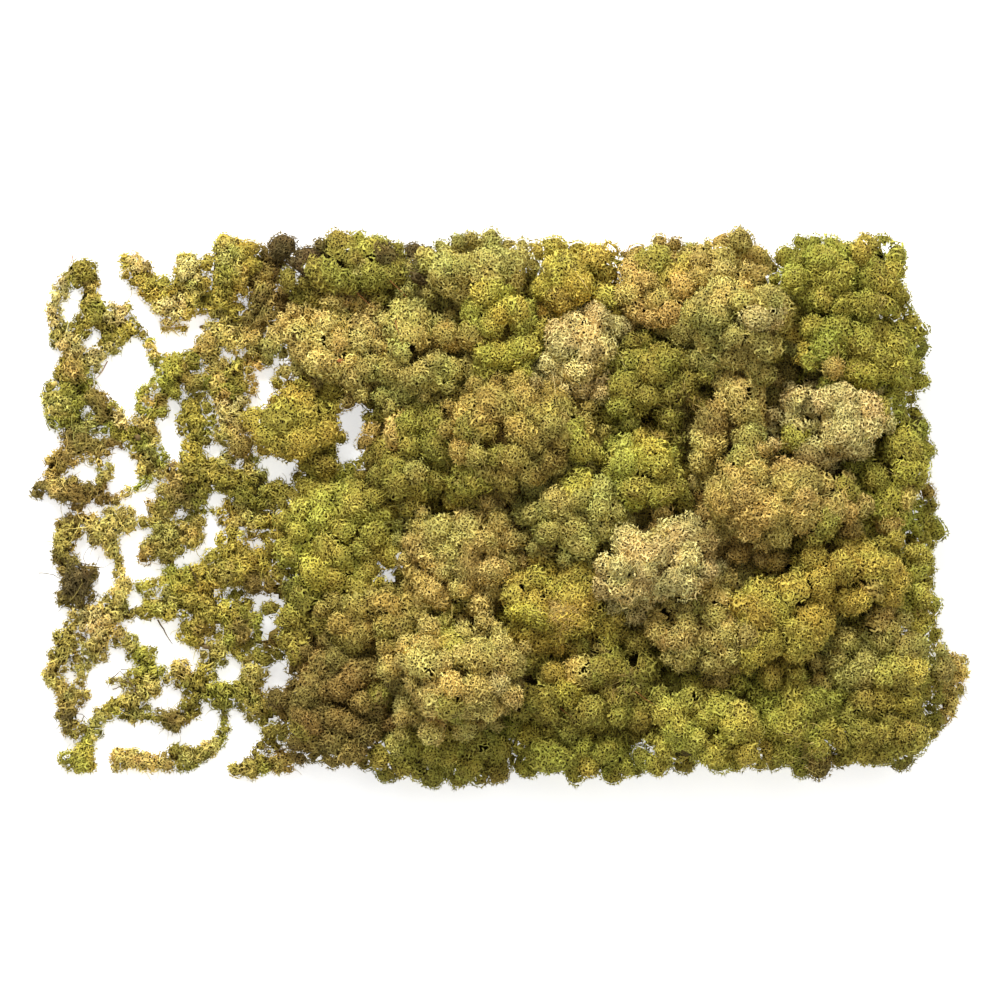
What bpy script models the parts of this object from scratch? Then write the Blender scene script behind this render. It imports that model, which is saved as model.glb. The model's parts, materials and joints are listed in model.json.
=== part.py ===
"""A laid-out clump of reindeer moss: close-packed crowns that thin out to one side into a net of loose sprigs.

Each object is one tuft or one tangle of sprigs, as it would come off the pile in the hand. A solid reaches the
tips of its tuft. Lengths are millimetres until the last step, which scales them to metres.
"""

import math

import bmesh
import bpy
from mathutils import Euler, Matrix, Vector, noise

MM = 0.001

# Driving dimensions
MIDDLE = (0.5, -0.8, 0.0)  # middle of the whole clump's outline, moved to the origin
PRESSED_GAP = 0.35  # left between tufts that press on each other
FLOOR_SINK = 0.2  # share of a sprig's radius that the ground flattens
CROWN_WAIST = 0.46  # height of a crown's widest level, as a share of its top
HEAD_WAIST = 0.58  # the same for a head that sits on its neighbours
HEAD_TOP = 50.0  # a crown at least this high is such a head
CROWN_SIDES = 12
CROWN_LEVELS = 7
CROWN_FULLNESS = 2.8  # 2 is an ellipsoid; more fills out its corners
LUMP_DEPTH = 0.14  # how far the lumps of a crown stand in or out, as a share of its radius
LUMP_PITCH = 2.1  # lumps met along one radius
SPRIG_VOXEL = 1.2
SPRIG_LUMP = 0.16
TRIANGLES_PER_SPRIG_AREA = 0.068  # triangles for each square millimetre of a sprig's skin
FEWEST_TRIANGLES = 56
MOST_TRIANGLES = 162

# Colour and roughness of each kind of moss
FINISHES = {
    "cream_moss": ((0.66, 0.53, 0.24), 0.92),
    "straw_moss": ((0.58, 0.46, 0.15), 0.92),
    "tan_moss": ((0.50, 0.38, 0.13), 0.92),
    "gold_moss": ((0.42, 0.34, 0.06), 0.92),
    "lime_moss": ((0.45, 0.41, 0.06), 0.92),
    "green_moss": ((0.33, 0.32, 0.05), 0.92),
    "sage_moss": ((0.40, 0.36, 0.12), 0.92),
    "khaki_moss": ((0.34, 0.27, 0.07), 0.92),
    "olive_moss": ((0.26, 0.23, 0.045), 0.92),
    "brown_moss": ((0.18, 0.13, 0.05), 0.94),
}

# Crowns: name, moss, centre x, centre y, half length, half width, turn in degrees, height of the top
CROWNS = [
    ("crown_gold_west", "gold_moss", -81, 31, 19, 18, 10, 24),
    ("crown_olive_west_edge", "olive_moss", -83, -46, 19, 9, 85, 20),
    ("crown_lime_west", "lime_moss", -62, -11, 25, 25, 0, 29),
    ("crown_khaki_slope", "khaki_moss", -48, -46, 24, 19, 0, 34),
    ("crown_brown_slope", "brown_moss", -63, -79, 26, 25, 70, 32),
    ("crown_olive_south_rim", "olive_moss", -24, -97, 30, 14, 0, 30),
    ("crown_green_south_rim", "green_moss", 31, -97, 29, 14, 0, 33),
    ("crown_olive_northwest", "olive_moss", -58, 94, 24, 16, 3, 33),
    ("crown_straw_west", "straw_moss", -63, 63, 25, 19, -5, 30),
    ("crown_sage_west", "sage_moss", -32, 62, 23, 21, 80, 38),
    ("crown_olive_saddle", "olive_moss", -28, 21, 27, 26, 0, 38),
    ("crown_sage_north", "sage_moss", -10, 93, 27, 16, 0, 41),
    ("crown_gold_north", "gold_moss", 31, 91, 21, 17, 0, 40),
    ("crown_lime_heart", "lime_moss", 1, 68, 23, 20, 85, 44),
    ("crown_cream_shoulder", "cream_moss", 32, 62, 22, 21, 0, 46),
    ("head_khaki_dome", "khaki_moss", 8, 27, 32, 24, -8, 60),
    ("crown_tan_north", "tan_moss", 75, 86, 35, 22, 0, 45),
    ("head_pale", "sage_moss", 94, 73, 25, 21, -15, 60),
    ("crown_green_corner", "green_moss", 138, 88, 28, 21, -5, 46),
    ("crown_green_northeast", "green_moss", 139, 62, 33, 25, -10, 45),
    ("crown_brown_weave", "olive_moss", 62, 49, 23, 23, 20, 46),
    ("crown_straw_weave", "straw_moss", 91, 32, 26, 21, 80, 49),
    ("head_lime", "lime_moss", 57, 14, 19, 17, 0, 56),
    ("head_cream_east", "cream_moss", 135, 34, 25, 20, 0, 51),
    ("crown_green_east_edge", "green_moss", 157, 11, 32, 17, 86, 40),
    ("head_sage_dome", "sage_moss", 31, -2, 25, 22, -20, 52),
    ("head_tan_cap", "tan_moss", 112, 1, 35, 21, -4, 64),
    ("head_cream_fringe", "cream_moss", 63, -22, 28, 21, 10, 60),
    ("head_gold_cap", "gold_moss", 130, -26, 38, 19, -6, 54),
    ("crown_lime_east_edge", "lime_moss", 163, -34, 25, 13, 88, 36),
    ("crown_straw_middle", "straw_moss", -13, -21, 26, 25, 0, 42),
    ("crown_gold_middle", "gold_moss", 26, -39, 32, 23, 8, 46),
    ("crown_straw_south", "straw_moss", 82, -48, 27, 22, 0, 48),
    ("head_olive_cap", "gold_moss", 112, -47, 23, 20, -10, 54),
    ("crown_sage_southeast", "sage_moss", 150, -58, 25, 20, 0, 43),
    ("head_straw_cap", "straw_moss", -16, -67, 28, 23, 0, 58),
    ("crown_olive_south", "olive_moss", 40, -73, 39, 21, 2, 41),
    ("crown_lime_dome", "lime_moss", 84, -88, 30, 19, 5, 46),
    ("crown_green_south", "green_moss", 120, -84, 22, 21, 90, 42),
    ("crown_olive_southeast", "olive_moss", 151, -85, 24, 21, 0, 38),
]

# Tangles: name, moss, then each sprig as a run of points (x, y, radius)
TANGLES = [
    ("tangle_northwest", "olive_moss",
     [(-172, 96, 2.2), (-168, 96, 4.4), (-163, 92, 3.0), (-164, 86, 3.0), (-164, 82, 3.6), (-162, 77, 4.4),
      (-166, 74, 3.2), (-171, 73, 2.0)],
     [(-164, 82, 3.0), (-168, 82, 2.2)],
     [(-150, 79, 2.6), (-154, 78, 3.0), (-158, 76, 3.2), (-159, 70, 2.3), (-158, 66, 2.3), (-159, 62, 2.9),
      (-163, 59, 2.8), (-168, 57, 4.0)],
     [(-146, 70, 1.9), (-150, 72, 3.2), (-152, 68, 3.2), (-154, 64, 2.8), (-159, 62, 2.2)],
     [(-169, 69, 2.4), (-171, 65, 2.8), (-173, 61, 3.2), (-173, 55, 5.6), (-169, 54, 4.8)],
     [(-173, 55, 5.0), (-177, 51, 3.2)],
     [(-174, 91, 2.2), (-175, 87, 2.4), (-178, 83, 2.2), (-180, 79, 3.0), (-180, 76, 3.0), (-178, 72, 2.5),
      (-177, 68, 2.6), (-173, 62, 2.6)]),
    ("tangle_west", "green_moss",
     [(-180, 43, 4.4), (-175, 41, 5.6), (-176, 37, 4.8), (-172, 37, 3.6), (-168, 32, 2.6), (-165, 32, 3.2),
      (-162, 33, 2.4), (-158, 34, 2.8)],
     [(-166, 47, 2.4), (-163, 44, 4.0), (-159, 39, 3.6), (-154, 38, 3.2), (-152, 34, 4.0), (-151, 29, 3.2)],
     [(-159, 39, 3.2), (-158, 34, 2.8)]),
    ("tangle_southwest", "brown_moss",
     [(-155, 26, 2.3), (-160, 25, 2.3), (-164, 24, 2.4), (-170, 22, 2.8), (-175, 20, 3.6), (-180, 18, 2.8),
      (-180, 12, 3.0), (-178, 6, 5.0), (-172, 6, 6.0), (-168, 4, 4.2), (-165, 3, 2.4), (-161, 7, 2.6),
      (-158, 12, 2.7), (-156, 16, 1.8)],
     [(-160, 25, 2.2), (-160, 21, 2.0), (-162, 18, 1.8)],
     [(-180, 12, 2.4), (-184, 9, 1.7), (-187, 7, 2.5)]),
    ("tangle_green_net", "green_moss",
     [(-142, 66, 2.4), (-140, 62, 3.0), (-137, 58, 3.2), (-131, 55, 6.6), (-136, 48, 5.4), (-142, 44, 4.4),
      (-142, 36, 4.2), (-141, 30, 3.6), (-140, 24, 3.2), (-139, 19, 2.6)],
     [(-131, 55, 5.0), (-126, 52, 4.0)],
     [(-136, 48, 4.8), (-136, 41, 3.4)],
     [(-141, 25, 2.4), (-146, 21, 2.4), (-144, 15, 2.2)]),
    ("tangle_finger", "gold_moss",
     [(-150, 99, 3.0), (-146, 96, 4.2), (-142, 90, 4.8), (-137, 84, 5.0), (-132, 79, 4.8), (-126, 78, 4.0),
      (-124, 87, 5.6), (-124, 91, 6.6), (-126, 98, 4.8)]),
    ("tangle_dead", "brown_moss",
     [(-174, -6, 2.8), (-175, -12, 5.2), (-176, -18, 4.6), (-175, -23, 3.2), (-172, -30, 4.8), (-168, -34, 4.8),
      (-175, -36, 3.6)],
     [(-172, -30, 4.4), (-167, -29, 4.8), (-168, -34, 4.8)]),
    ("tangle_pillar", "straw_moss",
     [(-169, -4, 2.4), (-164, -8, 3.6), (-159, -10, 5.4), (-155, -5, 3.2), (-150, -8, 3.4), (-147, -2, 2.0)],
     [(-159, -11, 4.8), (-155, -19, 3.2), (-153, -23, 2.8), (-151, -28, 2.1), (-152, -33, 3.0), (-153, -37, 4.4), (-153, -41, 4.4),
      (-150, -45, 2.8)],
     [(-153, -41, 4.2), (-160, -47, 4.8), (-163, -43, 4.4)],
     [(-160, -47, 5.2), (-161, -52, 5.2), (-162, -56, 4.8), (-163, -60, 3.2)]),
    ("sprig_hooked", "lime_moss",
     [(-151, -54, 2.8), (-147, -58, 3.2), (-142, -62, 3.6), (-139, -66, 3.0), (-139, -72, 3.6), (-144, -76, 3.6),
      (-149, -78, 3.6), (-155, -80, 3.6), (-159, -82, 2.5), (-163, -86, 2.4), (-165, -92, 2.5), (-167, -97, 3.4),
      (-168, -102, 6.0)],
     [(-142, -63, 3.0), (-145, -67, 3.0)]),
    ("sprig_west_chain", "khaki_moss",
     [(-171, -47, 2.0), (-173, -50, 2.8), (-174, -55, 4.4), (-177, -61, 3.6), (-180, -66, 2.9), (-180, -70, 3.2),
      (-176, -74, 3.0), (-174, -79, 4.4), (-174, -86, 4.2), (-173, -90, 3.0)],
     [(-174, -78, 3.4), (-169, -76, 2.7), (-166, -76, 2.4)]),
    ("tangle_south_net", "olive_moss",
     [(-150, -85, 2.4), (-143, -85, 2.4), (-137, -85, 2.6), (-132, -86, 4.2), (-127, -86, 3.2), (-123, -81, 2.0),
      (-122, -76, 2.2), (-124, -71, 4.2)],
     [(-132, -68, 2.2), (-129, -66, 4.4), (-124, -71, 4.2), (-117, -74, 3.6), (-112, -74, 4.2), (-109, -74, 3.2)],
     [(-112, -75, 3.0), (-111, -81, 1.9), (-111, -87, 1.8), (-110, -93, 2.0), (-114, -96, 2.8), (-120, -99, 4.0),
      (-125, -102, 4.4), (-131, -100, 3.2)],
     [(-125, -102, 3.4), (-125, -106, 2.2)],
     [(-110, -74, 3.0), (-100, -74, 4.6), (-99, -68, 5.8)],
     [(-100, -74, 4.6), (-98, -81, 4.8), (-90, -82, 2.8)]),
    ("sprig_south_a", "straw_moss",
     [(-153, -101, 3.6), (-148, -102, 4.6), (-142, -103, 3.6), (-137, -103, 2.6)]),
    ("sprig_south_b", "olive_moss",
     [(-107, -106, 2.2), (-100, -105, 4.2), (-95, -103, 3.6), (-88, -104, 3.8), (-84, -102, 2.8)]),
    ("tangle_olive_head", "gold_moss",
     [(-108, 102, 7.4), (-108, 94, 8.0), (-111, 85, 6.2), (-116, 81, 4.0)]),
    ("tangle_brown_head", "brown_moss",
     [(-89, 101, 5.2), (-91, 97, 4.6), (-94, 91, 5.4), (-95, 84, 6.8), (-96, 77, 4.8)]),
    ("tangle_tan_bridge", "tan_moss",
     [(-120, 62, 3.6), (-117, 65, 4.6), (-113, 70, 4.8), (-111, 74, 3.2)],
     [(-113, 69, 4.4), (-107, 65, 4.8), (-100, 66, 5.2), (-94, 64, 4.8), (-96, 58, 2.8)],
     [(-96, 58, 2.6), (-102, 57, 2.2), (-108, 56, 3.2), (-113, 51, 4.2), (-112, 44, 4.8), (-109, 38, 5.6),
      (-108, 30, 5.2)]),
    ("tangle_olive_net", "olive_moss",
     [(-124, 40, 5.6), (-122, 30, 4.6), (-124, 20, 5.0), (-125, 11, 6.0), (-132, 2, 4.8)],
     [(-124, 34, 3.0), (-129, 31, 2.6)],
     [(-125, 11, 5.4), (-120, 4, 4.0)],
     [(-124, 14, 5.0), (-113, 14, 6.0), (-106, 7, 5.4), (-100, 11, 5.4)],
     [(-106, 7, 5.0), (-100, 4, 4.6), (-88, 6, 5.6)]),
    ("tangle_brown_net", "khaki_moss",
     [(-138, -6, 4.6), (-132, -12, 5.4), (-140, -17, 4.6)],
     [(-132, -12, 5.2), (-124, -12, 5.0)],
     [(-132, -12, 5.2), (-134, -21, 3.6)]),
    ("tangle_gold_net", "gold_moss",
     [(-93, -6, 4.8), (-100, -6, 4.8), (-107, -9, 4.6), (-105, -18, 4.8), (-104, -26, 7.0), (-116, -29, 5.8)],
     [(-104, -24, 5.6), (-95, -22, 5.6)]),
    ("tangle_lime_net", "lime_moss",
     [(-140, -40, 4.6), (-134, -42, 4.4), (-128, -35, 5.4), (-117, -42, 5.6), (-124, -52, 4.0)],
     [(-117, -42, 5.2), (-104, -41, 5.0), (-104, -49, 6.0), (-108, -54, 4.4), (-114, -60, 3.6), (-118, -65, 2.6)]),
    ("tangle_east_fingers", "straw_moss",
     [(180, -62, 4.4), (182, -66, 4.8), (186, -67, 4.4)],
     [(181, -66, 4.4), (180, -74, 4.4), (181, -81, 4.4)]),
]


def moss_material(name):
    """The dull, rough finish of one kind of moss."""
    colour, roughness = FINISHES[name]
    material = bpy.data.materials.get(name)
    if material is None:
        material = bpy.data.materials.new(name)
        material.use_nodes = True
        shader = material.node_tree.nodes["Principled BSDF"]
        shader.inputs["Base Color"].default_value = (*colour, 1.0)
        shader.inputs["Roughness"].default_value = roughness
    return material


def cut_away(bm, point, normal):
    """Takes off what lies beyond a plane and closes the cut with a flat face."""
    everything = bm.verts[:] + bm.edges[:] + bm.faces[:]
    bmesh.ops.bisect_plane(bm, geom=everything, dist=1e-4, plane_co=point, plane_no=normal, clear_outer=True)
    rim = [edge for edge in bm.edges if edge.is_boundary]
    if rim:
        bmesh.ops.holes_fill(bm, edges=rim, sides=0)


def keep_largest_body(bm):
    """Drops crumbs that a cut has parted from the body."""
    unseen = set(bm.faces)
    bodies = []
    while unseen:
        first = unseen.pop()
        body = {first}
        edge_of_search = [first]
        while edge_of_search:
            for edge in edge_of_search.pop().edges:
                for face in edge.link_faces:
                    if face in unseen:
                        unseen.discard(face)
                        body.add(face)
                        edge_of_search.append(face)
        bodies.append(body)
    largest = max(bodies, key=len)
    crumbs = [face for face in bm.faces if face not in largest]
    if crumbs:
        bmesh.ops.delete(bm, geom=crumbs, context="FACES")


def add_piece(name, moss, bm):
    """Cleans the mesh, scales it to metres and puts it in the scene as one smooth-shaded object."""
    bmesh.ops.remove_doubles(bm, verts=bm.verts, dist=0.02)
    bmesh.ops.dissolve_degenerate(bm, edges=bm.edges, dist=0.01)
    bmesh.ops.triangulate(bm, faces=bm.faces)
    keep_largest_body(bm)
    bmesh.ops.recalc_face_normals(bm, faces=bm.faces)
    bmesh.ops.translate(bm, vec=-Vector(MIDDLE), verts=bm.verts)
    bmesh.ops.scale(bm, vec=(MM, MM, MM), verts=bm.verts)
    mesh = bpy.data.meshes.new(name)
    bm.to_mesh(mesh)
    bm.free()
    mesh.shade_smooth()
    mesh.set_sharp_from_angle(angle=math.radians(40))
    mesh.materials.append(moss_material(moss))
    piece = bpy.data.objects.new(name, mesh)
    bpy.context.scene.collection.objects.link(piece)
    return piece


class Crown:
    """A cushion-shaped tuft: a full, lumpy ellipsoid that its neighbours and the ground press flat."""

    def __init__(self, name, moss, x, y, half_length, half_width, turn, top):
        waist = top * (HEAD_WAIST if top >= HEAD_TOP else CROWN_WAIST)
        self.name = name
        self.moss = moss
        self.centre = Vector((x, y, waist))
        self.radii = Vector((half_length, half_width, top - waist))
        self.turn = Euler((0, 0, math.radians(turn))).to_matrix()

    def reach(self, direction):
        """Distance from the centre to the smooth cushion along a unit direction."""
        local = self.turn.transposed() @ direction
        return sum(abs(local[i] / self.radii[i]) ** CROWN_FULLNESS for i in range(3)) ** (-1 / CROWN_FULLNESS)

    def mesh(self):
        bm = bmesh.new()
        bmesh.ops.create_uvsphere(bm, u_segments=CROWN_SIDES, v_segments=CROWN_LEVELS, radius=1.0)
        seed = Vector((self.centre.x, self.centre.y, 0)) * 0.37
        for vert in bm.verts:
            lump = 1 + LUMP_DEPTH * noise.noise(vert.co * LUMP_PITCH + seed)
            outward = self.turn @ Vector(vert.co[i] * self.radii[i] for i in range(3)).normalized()
            vert.co = self.centre + outward * self.reach(outward) * lump
        return bm


def model_crowns():
    crowns = [Crown(*row) for row in CROWNS]
    for crown in crowns:
        bm = crown.mesh()
        for other in crowns:
            apart = other.centre - crown.centre
            reach_of_both = max(crown.radii) + max(other.radii)
            if other is crown or apart.length > reach_of_both * (1 + LUMP_DEPTH):
                continue
            direction = apart.normalized()
            own = crown.reach(direction)
            share = own / (own + other.reach(-direction))
            cut_away(bm, crown.centre + apart * share - direction * PRESSED_GAP / 2, direction)
        cut_away(bm, Vector((0, 0, 0)), Vector((0, 0, -1)))
        add_piece(crown.name, crown.moss, bm)


def balls_along(run):
    """Closely set balls (centre, radius) that follow a sprig lying on the ground."""
    balls = []
    for (x0, y0, r0), (x1, y1, r1) in zip(run, run[1:]):
        steps = max(1, math.ceil(math.hypot(x1 - x0, y1 - y0) / (0.45 * min(r0, r1))))
        for step in range(steps + 1):
            share = step / steps
            radius = r0 + (r1 - r0) * share
            centre = Vector((x0 + (x1 - x0) * share, y0 + (y1 - y0) * share, radius * (1 - FLOOR_SINK)))
            radius *= 1 + SPRIG_LUMP * noise.noise(centre * 0.3)
            balls.append((centre, radius))
    return balls


def evaluated_mesh(obj):
    graph = bpy.context.evaluated_depsgraph_get()
    return bpy.data.meshes.new_from_object(obj.evaluated_get(graph))


def fused(balls):
    """One skin over overlapping balls, thinned to few triangles."""
    bm = bmesh.new()
    for centre, radius in balls:
        bmesh.ops.create_icosphere(bm, subdivisions=2, radius=radius, matrix=Matrix.Translation(centre))
    rough = bpy.data.meshes.new("sprig_balls")
    bm.to_mesh(rough)
    bm.free()
    helper = bpy.data.objects.new("sprig_helper", rough)
    bpy.context.scene.collection.objects.link(helper)
    skin = helper.modifiers.new("skin", "REMESH")
    skin.mode = "VOXEL"
    skin.voxel_size = SPRIG_VOXEL
    area = sum(face.area for face in evaluated_mesh(helper).polygons)
    wanted = min(max(area * TRIANGLES_PER_SPRIG_AREA, FEWEST_TRIANGLES), MOST_TRIANGLES)
    thin = helper.modifiers.new("thin", "DECIMATE")
    thin.ratio = min(1.0, wanted / (2 * len(evaluated_mesh(helper).polygons)))
    bm = bmesh.new()
    bm.from_mesh(evaluated_mesh(helper))
    bpy.data.objects.remove(helper)
    return bm


def model_tangles():
    for name, moss, *runs in TANGLES:
        bm = fused([ball for run in runs for ball in balls_along(run)])
        cut_away(bm, Vector((0, 0, 0)), Vector((0, 0, -1)))
        add_piece(name, moss, bm)


def clear_scene():
    for old in list(bpy.data.objects):
        bpy.data.objects.remove(old)


def main():
    clear_scene()
    model_crowns()
    model_tangles()


main()
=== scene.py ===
"""Looks of the reindeer moss clump: every tuft is rebuilt as knobbly lobes with a lace of branchlets on them.

Lengths in this script are metres. Places listed in it are millimetres from the middle of the clump, x to the
dense side and y across it, and spot() turns them into places on the frame.
"""

import json
import math

import bmesh
import bpy
import numpy as np
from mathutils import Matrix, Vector
from mathutils.bvhtree import BVHTree


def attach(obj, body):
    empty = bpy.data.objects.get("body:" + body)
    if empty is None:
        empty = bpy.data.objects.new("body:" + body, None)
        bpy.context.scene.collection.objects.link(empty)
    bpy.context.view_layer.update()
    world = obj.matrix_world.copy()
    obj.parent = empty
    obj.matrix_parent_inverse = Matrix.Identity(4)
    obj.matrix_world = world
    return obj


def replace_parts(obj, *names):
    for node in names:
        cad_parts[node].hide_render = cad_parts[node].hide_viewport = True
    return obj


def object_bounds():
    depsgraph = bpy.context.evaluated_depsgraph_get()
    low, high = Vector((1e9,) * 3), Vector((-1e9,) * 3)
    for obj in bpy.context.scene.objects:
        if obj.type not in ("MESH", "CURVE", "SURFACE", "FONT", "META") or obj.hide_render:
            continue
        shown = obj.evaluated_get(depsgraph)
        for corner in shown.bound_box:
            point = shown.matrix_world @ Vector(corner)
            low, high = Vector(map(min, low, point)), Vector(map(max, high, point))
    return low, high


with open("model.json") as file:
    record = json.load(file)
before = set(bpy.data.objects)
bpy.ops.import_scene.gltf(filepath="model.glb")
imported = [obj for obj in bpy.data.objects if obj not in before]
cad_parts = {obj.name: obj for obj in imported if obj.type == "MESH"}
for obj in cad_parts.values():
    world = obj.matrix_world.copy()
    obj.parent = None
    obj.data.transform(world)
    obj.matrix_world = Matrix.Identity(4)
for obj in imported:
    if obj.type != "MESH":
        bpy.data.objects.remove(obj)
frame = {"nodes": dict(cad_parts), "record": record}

CAD_LOW, CAD_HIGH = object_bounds()
MIDDLE = np.array((CAD_LOW + CAD_HIGH) / 2)
MM = 0.001

# Lace of branchlets
CELL_PITCH = 1.57 * MM  # from one hole of the lace to the next
STEEP_PITCH = 0.75  # how much wider the lace is on upright flanks than on level tops
HOLE_SHARE = (0.66, 0.90)  # a hole's radius as a share of its cell's, smallest and largest
THREAD_SCATTER = 0.20 * MM  # how far the threads' sides stand in or out
MISSING_THREADS = 0.46  # share of the lace's threads that are broken off
TIP_SHARE = 0.60  # share of forks that grow a tip
TIP_LENGTH = (0.5 * MM, 1.7 * MM)
TIP_LEAN = 0.75  # how far tips lean away from upright
TIP_LIGHT = 0.12  # how much tips differ in brightness
LINING_DEPTH = 0.60 * MM  # from the lace to the second layer of branchlets inside it

# Lobes
KNOB_SIZE = (0.34, 0.46)  # radius of the knobs on a lobe, as a share of the lobe's
KNOBS = 17
KNOB_JITTER = 0.22
KNOB_DEPTH = (-0.07, 0.05)  # how much a knob is drawn in or out, as a share of the lobe's radius
KNOB_LIGHT = 0.07  # how much knobs differ in brightness
STRETCH = ((0.92, 1.22), (0.85, 1.05), (0.80, 1.0))  # each half-size as a share of the radius, least and most
VALLEY = 0.85  # how low the surface lies between knobs
KEPT_CAP = -0.25  # a lobe's lace goes this far below its middle
CROWN_LOBES = (5.6 * MM, 9.6 * MM)
SPRIG_LOBES = (2.3 * MM, 4.0 * MM)
CROWDING = 0.62  # least distance between two lobes, as a share of their radii together
GROUND = 0.25 * MM
SIDE_SINK = 3.0 * MM  # how much further in the lobes sit on upright sides

# Colours of the branchlets, as linear values
TONES = {
    "cream": (0.73, 0.62, 0.300),
    "straw": (0.68, 0.56, 0.205),
    "tan": (0.61, 0.475, 0.165),
    "gold": (0.55, 0.455, 0.105),
    "yellow": (0.59, 0.51, 0.105),
    "lime": (0.52, 0.48, 0.110),
    "green": (0.43, 0.41, 0.088),
    "sage": (0.53, 0.48, 0.160),
    "khaki": (0.49, 0.395, 0.120),
    "olive": (0.38, 0.34, 0.080),
    "brown": (0.33, 0.25, 0.085),
    "dead": (0.15, 0.11, 0.055),
    "rust": (0.34, 0.14, 0.055),
    "soot": (0.03, 0.026, 0.02),
    # dark: painted shade, a darker tone for lobes in the clump's shaded hollows
    "dark": (0.14, 0.12, 0.040),
}

OWN_TONE = 0.25  # how much of its tuft's own tone a lobe at a patch's edge keeps
TONE_DRIFT = 0.02  # from lobe to lobe, in each colour
LIGHT_DRIFT = 0.09  # the same in brightness
SPRIG_PAINTED_LIGHT = 1.14  # thin sprigs are painted paler than the crowns: partly their own paler colour, partly painted light on the thin, lit-through sprigs
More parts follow.
